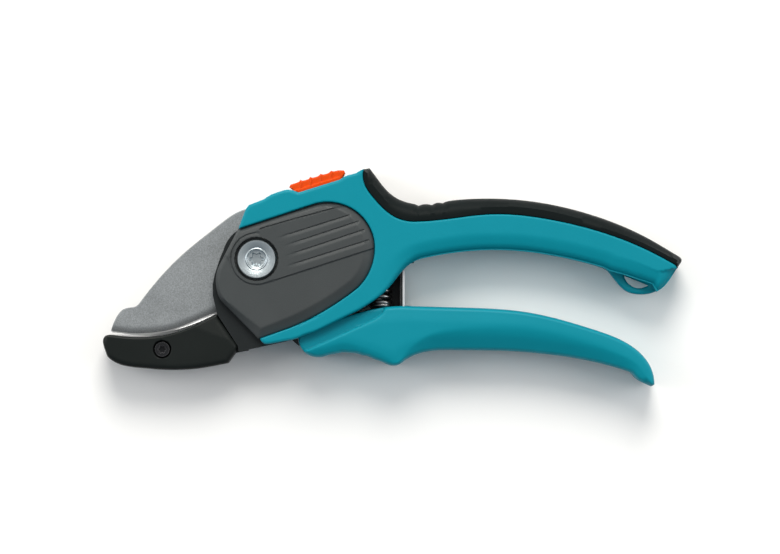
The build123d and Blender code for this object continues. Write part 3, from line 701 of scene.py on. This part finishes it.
handle_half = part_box("lower_handle")[1].z / MM - middle
nose_half = 7.8
palm_crease = curve_through(((51.5, -39.0), (53.6, -34.6), (58.5, -30.0), (66.0, -26.6), (84.0, -25.2),
                             (105.0, -26.8), (122.0, -31.0), (134.0, -36.6), (140.0, -42.5)))
finger_crease = curve_through(((12.0, -34.0), (23.5, -32.4), (32.0, -30.6), (41.4, -33.2), (47.0, -35.6),
                               (52.5, -39.0)))
nose_step = curve_through(((10.0, -36.0), (19.0, -32.6), (36.0, -24.9), (45.2, -20.0), (47.0, -14.0)))
finger_ribs = (26.4, 31.4, 36.1, 40.5, 44.9)


def fold(below, slope, blur):
    """Drop of a face that turns away beyond a crease."""
    return slope * blur * np.log1p(np.exp(np.clip(below / blur, -30, 30)))


def handle_face(x, y, away):
    crown = 0.5 * ease(1 - away / 6.0)
    palm = -reach(x, y, palm_crease)[1]
    fingers = -reach(x, y, finger_crease)[1]
    soft = 0.25 + 1.1 * ease((x - 54) / 60)
    turned = np.where(x > 51.5, fold(palm, 0.42, soft), fold(fingers, 0.36, 0.35))
    high = handle_half - 0.02 - np.maximum(fall(away, 2.3), crown) - turned
    over = reach(x, y, nose_step)[1]
    ridge = high - fall(np.maximum(0.1 - over, 0), 1.0, 0.7)
    nose = nose_half - 0.9 - fall(away, 0.8)
    return middle + np.where(x < 47.5, np.where(over > 0, np.minimum(nose, high), ridge), high)


lower_outline = notched(section("lower_handle", middle + 6.9)[0], finger_ribs, 0.35, 1.2, False)
lower_handle = moulded("lower_handle_moulding", [lower_outline], handle_face,
                       lambda x, y, away: 2 * middle - handle_face(x, y, away), 0.65, 2.4, trim=0.02,
                       guides=[(palm_crease, (-0.6, -0.2, 0.2, 0.6)), (finger_crease, (-0.5, 0, 0.5)),
                               (nose_step, (-1.0, -0.5, -0.15, -0.01, 0.06, 0.5))])
within(lower_handle, "lower_handle")
fit(lower_handle, "lower_handle", "teal_plastic", teal, "lower_handle")


# ---------------------------------------------------------------- return spring
# Coil of spring wire between a post in the lower handle and the stop under the housing, with
# closed end turns.  In the shears it is squeezed as the handles close; the coil built here keeps one length.

stop_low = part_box("spring_stop")[0].y / MM
coil_low, coil_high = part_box("return_spring")
coil_x = (coil_low.x + coil_high.x) / 2 / MM
wire = 0.65
coil_radius = (coil_high.x - coil_low.x) / 2 / MM - wire
coil_turns = 8
dead_turns = 0.9
end_crowding = 1.1                               # how much closer the closed end turns lie
steps_a_turn = 48
foot_y = coil_low.y / MM + wire + 0.05
head_y = coil_high.y / MM - wire - 0.05


def coil():
    """Tube along the spring's helix; the first and last turns lie flat."""
    steps, sides = steps_a_turn * coil_turns, 10
    body, skin = [], []
    for i in range(steps + 1):
        turn = i / steps_a_turn
        angle = 2 * math.pi * turn
        live = min(max((turn - dead_turns) / (coil_turns - 2 * dead_turns), 0), 1)
        flat = min(turn, dead_turns) * wire / end_crowding
        lift = max(0.0, turn - (coil_turns - dead_turns)) * wire
        y = foot_y + flat + live * (head_y - foot_y - 2 * dead_turns * wire) + lift
        out = Vector((math.cos(angle), 0, math.sin(angle)))
        centre = Vector((coil_x, y, middle)) + out * coil_radius
        for j in range(sides):
            bend = 2 * math.pi * j / sides
            body.append((centre + out * wire * math.cos(bend) + Vector((0, wire * math.sin(bend), 0))) * MM)
    for i in range(steps):
        for j in range(sides):
            a, b = i * sides + j, i * sides + (j + 1) % sides
            skin.append((a, b, b + sides, a + sides))
    skin.append(tuple(range(sides)))
    skin.append(tuple(range(steps * sides, (steps + 1) * sides)))
    mesh = bpy.data.meshes.new("return_coil")
    mesh.from_pydata(body, [], skin)
    form = bmesh.new()
    form.from_mesh(mesh)
    bmesh.ops.recalc_face_normals(form, faces=form.faces)
    form.to_mesh(mesh)
    form.free()
    return new_piece("return_coil", mesh)


spring_wire = surface("spring_wire", (0.42, 0.43, 0.44), 0.3, metal=1.0, fineness=1200.0, depth=0.00001,
                      worn=(0.6, 0.6, 0.62), scratches=0.6)
spring = coil()
spring.data.materials.append(spring_wire)
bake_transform(spring)
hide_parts("return_spring")

spring_stop = softened("spring_stop_moulding", "spring_stop", 0.3)
fit(spring_stop, "frame", "carrier_plastic", anvil_black, "spring_stop")


# ---------------------------------------------------------------- lock
# Orange slider on the thumb side, with four ribs, a catch that drops behind the blade's heel and a
# small leaf spring that holds it at either end of its travel.

orange = surface("orange_nylon", (0.68, 0.062, 0.004), 0.42, fineness=2000.0, depth=0.00003, mottle=0.05,
                 worn=(0.85, 0.13, 0.02), wear=1.0, scratches=0.3, gloss=0.1)
slider_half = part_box("lock_slider")[1].z / MM - middle
lock_slope = math.radians(17.3)
rib_places = (15.9, 19.5, 23.2, 27.0)
ledge_rise = 19.55                               # the ribs stand on a ledge along the slider's foot


def ribs_at(x, width):
    return sum(np.exp(-((x - place) / width) ** 2) for place in rib_places)


def slider_face(x, y, away):
    rise = y * math.cos(lock_slope) - x * math.sin(lock_slope)
    web = (0.62 - 0.5 * ribs_at(x, 0.42)) * ease((rise - ledge_rise) / 0.3) * ease((30.0 - x) / 0.6)
    return middle + slider_half - 0.05 - fall(away, 0.6) - web


ribbed = evenly(section("lock_slider", middle + 3.0)[0], 0.25)
crest = 0.6 * ribs_at(ribbed[:, 0], 0.42) * (inward(ribbed)[:, 1] < -0.6)
ribbed = ribbed - inward(ribbed) * crest[:, None]
slider = moulded("slider_button", [ribbed], slider_face,
                 lambda x, y, away: 2 * middle - slider_face(x, y, away), 0.3, 0.6)
stem_half = 1.75
stem = moulded("slider_stem", section("lock_slider", middle + 0.3)[:1],
               lambda x, y, away: np.full(len(x), middle + stem_half),
               lambda x, y, away: np.full(len(x), middle - stem_half), 0.6, 0.2, trim=0.15)
fit(slider, "lock", "orange_plastic", orange, "lock_slider")
fit(stem, "lock", "orange_plastic", orange)
catch = softened("lock_catch_stamping", "lock_catch", 0.2)
fit(catch, "lock", "bright_steel", spring_wire, "lock_catch")
dress("lock_spring", spring_wire)


# ---------------------------------------------------------------- side covers
# Grey nylon covers clipped over the head, front and back.  A raised pod with four lapped ribs runs
# from the bolt to the heel, inside a bevelled rim that is widest towards the handles.

cover_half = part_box("cover_front")[1].z / MM - middle
cover_grey = surface("cover_grey", (0.047, 0.053, 0.055), 0.5, fineness=2200.0, depth=0.00003, mottle=0.07,
                     worn=(0.085, 0.09, 0.092), wear=0.9, scratches=0.35)
pod_top = curve_through(((-6.0, 7.9), (5.2, 12.0), (30.9, 19.1), (40.0, 21.6)))
pod_foot = curve_through(((-3.0, -9.4), (-0.3, -9.5), (6.8, -7.7), (42.3, 3.7), (50.0, 6.2)))
pod_radius = 9.3
rib_lines = [curve_through(ends) for ends in (((6.4, 7.3), (33.6, 15.9)), ((9.1, 4.5), (36.8, 13.6)),
                                              ((9.8, 0.9), (38.9, 10.6)), ((9.5, -3.0), (40.7, 6.9)))]
rib_depth = 0.4
cover_seat = 8.02                                # height of the housing's ledge under the cover
bolt_well = 7.95                                 # radius of the sunk ring round the bolt's head
well_inside = 7.25


def cover_face(x, y, away):
    reach_out = np.hypot(x, y)
    outline = reach(x, y, cover_outline, True)[0]
    bevel = 1.1 + 2.6 * ease((0.7 * x - 0.7 * y + 2) / 28)
    rim = 1.7 * np.clip(1 - outline / bevel, 0, 1) + fall(outline, 0.5, 0.3)
    above = reach(x, y, pod_top)[1]
    below = -reach(x, y, pod_foot)[1]
    round_end = np.where(x < 1.0, reach_out - pod_radius, -99.0)
    off_pod = np.maximum.reduce((above, below, round_end))
    lowered = ease(np.maximum(below, round_end * ease((2 - y) / 6)) / 0.35)
    groove = 0.5 * np.clip(1 - np.abs(off_pod) / 0.38, 0, 1)
    facet = 0.24 * np.clip(above, 0, 3.6)
    well = 2.4 * ease((bolt_well - reach_out) / 0.14)
    ribs = np.zeros(len(x))
    for line in rib_lines:
        near, side = reach(x, y, line)
        start, stop = line[0, 0], line[-1, 0]
        fade = ease((x - start) / 9.0) * ease((stop + 0.4 - x) / 0.5)
        cut = np.where(side > 0, np.clip(1 - near / 0.3, 0, 1), np.clip(1 - near / 1.1, 0, 1))
        ribs = np.maximum(ribs, rib_depth * cut * fade)
    drop = np.minimum(rim + 0.5 * lowered + groove + facet + ribs, 2.4)
    return middle + cover_half - 0.02 - np.maximum(drop, well)


def cover(name, side):
    """One cover: its sculpted face over the flat back and the thick pad on the carrier's neck."""
    floor = middle + cover_seat
    guides = [(line, (0.3, 0.15, 0.0, -0.3, -0.7, -1.2)) for line in rib_lines]
    guides += [(pod_top, (-0.38, -0.19, 0.0, 0.19, 0.38)), (pod_foot, (-0.38, -0.19, 0.0, 0.19, 0.38))]
    angles = np.linspace(0, 2 * math.pi, 121)[:-1]
    ring = np.column_stack((np.cos(angles), np.sin(angles)))
    guides += [(ring * radius, (0.0,)) for radius in (bolt_well, bolt_well - 0.07, bolt_well - 0.14)]
    guides += [(ring[45:100] * pod_radius, (-0.38, -0.19, 0.0, 0.19, 0.38))]
    loops = section("cover_front", middle + 9.0)[:1] + [ring[::-1] * well_inside]
    faces = (cover_face, lambda x, y, away: np.full(len(x), floor))
    if side < 0:
        faces = (lambda x, y, away: np.full(len(x), 2 * middle - floor),
                 lambda x, y, away: 2 * middle - cover_face(x, y, away))
    plate = moulded(name, loops, *faces, 0.5, 1.2, guides=guides)
    pad = section("cover_front", middle + 7.2)
    heights = (middle + side * 6.55, middle + side * 8.4)
    low, high = min(heights), max(heights)
    under = moulded(name + "_pad", pad, lambda x, y, away: np.full(len(x), high),
                    lambda x, y, away: np.full(len(x), low), 0.9, 0.2, trim=0.02)
    joined_with(plate, under, "UNION")
    return plate


fit(cover("front_cover", 1), "frame", "grey_plastic", cover_grey, "cover_front")
fit(cover("back_cover", -1), "frame", "grey_plastic", cover_grey, "cover_back")


# ---------------------------------------------------------------- pivot bolt
# Steel bolt with a slightly dished, spun head and a six-lobed socket inside a raised bead.  Its nut and
# washer sit in the back cover.

def turned(name, profile, sides=96):
    """Solid of revolution about the bolt's axis from (radius, height) pairs."""
    form = bmesh.new()
    loops = []
    for radius, height in profile:
        loops.append([form.verts.new((radius * MM * math.cos(2 * math.pi * i / sides),
                                      radius * MM * math.sin(2 * math.pi * i / sides), height * MM))
                      for i in range(sides)])
    for lower, upper in zip(loops, loops[1:]):
        for i in range(sides):
            form.faces.new((lower[i], lower[(i + 1) % sides], upper[(i + 1) % sides], upper[i]))
    form.faces.new(loops[0][::-1])
    form.faces.new(loops[-1])
    bmesh.ops.recalc_face_normals(form, faces=form.faces)
    return new_piece(name, mesh_of(name, form), 24)


def six_lobed(name, radius, low, high, taper=0.66):
    """Tapered prism with the cross-section of a six-lobed drive."""
    ring = []
    for turn in np.linspace(0, 2 * math.pi, 97)[:-1]:
        out = radius * (0.85 + 0.15 * math.cos(6 * turn))
        ring.append((out * math.cos(turn), out * math.sin(turn)))
    form = bmesh.new()
    foot = [form.verts.new((x * taper * MM, y * taper * MM, low * MM)) for x, y in ring]
    head = [form.verts.new((x * MM, y * MM, high * MM)) for x, y in ring]
    for i in range(len(ring)):
        onward = (i + 1) % len(ring)
        form.faces.new((foot[i], foot[onward], head[onward], head[i]))
    form.faces.new(foot[::-1])
    form.faces.new(head)
    return new_piece(name, mesh_of(name, form))


spun = surface("spun_steel", (0.50, 0.56, 0.59), 0.3, metal=1.0, fineness=700.0, depth=0.00001, mottle=0.06,
               spread=0.06, worn=(0.8, 0.81, 0.82), scratches=0.6)
tree = spun.node_tree
ridges = tree.nodes.new("ShaderNodeTexWave")
ridges.wave_type = "RINGS"
ridges.rings_direction = "Z"
ridges.inputs["Scale"].default_value = 1100.0
ridges.inputs["Distortion"].default_value = 0.6
place = tree.nodes.new("ShaderNodeTexCoord")
tree.links.new(place.outputs["Object"], ridges.inputs["Vector"])
tooled = tree.nodes.new("ShaderNodeBump")
tooled.inputs["Distance"].default_value = 0.000012
tree.links.new(ridges.outputs["Fac"], tooled.inputs["Height"])
shader = tree.nodes["Principled BSDF"]
shader.inputs["Anisotropic"].default_value = 0.4
turning = tree.nodes.new("ShaderNodeTangent")
turning.direction_type = "RADIAL"
turning.axis = "Z"
tree.links.new(turning.outputs["Tangent"], shader.inputs["Tangent"])
tree.links.new(shader.inputs["Normal"].links[0].from_socket, tooled.inputs["Normal"])
tree.links.new(tooled.outputs["Normal"], shader.inputs["Normal"])
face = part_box("pivot_bolt")[1].z / MM
head_radius = 7.15
bolt = turned("pivot_bolt_steel", [(4.0, 0.02), (4.0, middle + 8.0), (head_radius, middle + 8.0),
                                   (head_radius, face - 0.55), (head_radius - 0.15, face - 0.25),
                                   (head_radius - 0.4, face - 0.03), (head_radius - 0.6, face - 0.02),
                                   (4.1, face - 0.62), (3.95, face - 0.42), (3.75, face - 0.36),
                                   (3.55, face - 0.44), (3.3, face - 0.9), (3.2, face - 0.95)])
joined_with(bolt, six_lobed("socket", 3.15, face - 3.2, face + 0.4), "DIFFERENCE")
fit(bolt, "frame", "bright_steel", spun, "pivot_bolt")
nut = softened("pivot_nut_bright", "pivot_nut", 0.4)
fit(nut, "frame", "bright_steel", bright, "pivot_nut")
dress("nut_washer", bright)


# ---------------------------------------------------------------- floor, light and camera
# Plain pale table with soft light from above, and a long lens straight over the shears.

table = bpy.data.materials.new("pale_table")
table.use_nodes = True
tree = table.node_tree
paint = tree.nodes["Principled BSDF"]
pale = tint(tree, noise(tree, 6.0, 2.0), (0.93, 0.93, 0.93), (0.96, 0.96, 0.96))
tree.links.new(pale, paint.inputs["Base Color"])
paint.inputs["Roughness"].default_value = 0.9
paint.inputs["Specular IOR Level"].default_value = 0.1
form = bmesh.new()
bmesh.ops.create_grid(form, x_segments=4, y_segments=4, size=3.0)
floor = new_piece("table", mesh_of("table", form))
floor.location = (0.05, 0, cad_low.z - 0.0002)
floor.data.materials.append(table)


def lamp(name, place, size, power, colour=(1, 1, 1), aim=(0.05, 0, 0.01)):
    light = bpy.data.lights.new(name, "AREA")
    light.shape = "DISK"
    light.size = size
    light.energy = power
    light.color = colour
    made = bpy.data.objects.new(name, light)
    made.location = place
    made.rotation_euler = (Vector(aim) - Vector(place)).to_track_quat("-Z", "Y").to_euler()
    bpy.context.scene.collection.objects.link(made)


lamp("back_light", (0.05, 1.1, 1.0), 0.9, 19, (1.0, 0.97, 0.91))
lamp("left_light", (-1.1, 0.25, 0.85), 0.8, 5)
lamp("right_light", (1.2, 0.1, 0.9), 0.8, 4)

world = bpy.data.worlds.new("studio")
bpy.context.scene.world = world
world.use_nodes = True
sky = world.node_tree
direction = sky.nodes.new("ShaderNodeTexCoord")
parts = sky.nodes.new("ShaderNodeSeparateXYZ")
sky.links.new(direction.outputs["Generated"], parts.inputs["Vector"])
lean = sum_of(sky, "ADD", sum_of(sky, "MULTIPLY", parts.outputs["Y"], 1.0), 0.5)
share = sum_of(sky, "MAXIMUM", sum_of(sky, "MINIMUM", lean, 1.0), 0.0)
background = sky.nodes["Background"]
sky.links.new(tint(sky, share, (0.17, 0.20, 0.23), (0.90, 0.89, 0.86)), background.inputs["Color"])
background.inputs["Strength"].default_value = 0.9

camera = bpy.data.cameras.new("camera")
camera.lens = 200
camera.sensor_width = 36
camera.clip_start = 0.05
camera.clip_end = 20
view_wide = 0.2839
eye = bpy.data.objects.new("camera", camera)
eye.location = (0.0483, -0.0065, middle * MM + view_wide * camera.lens / camera.sensor_width)
bpy.context.scene.collection.objects.link(eye)
bpy.context.scene.camera = eye
bpy.context.scene.view_settings.view_transform = "Standard"
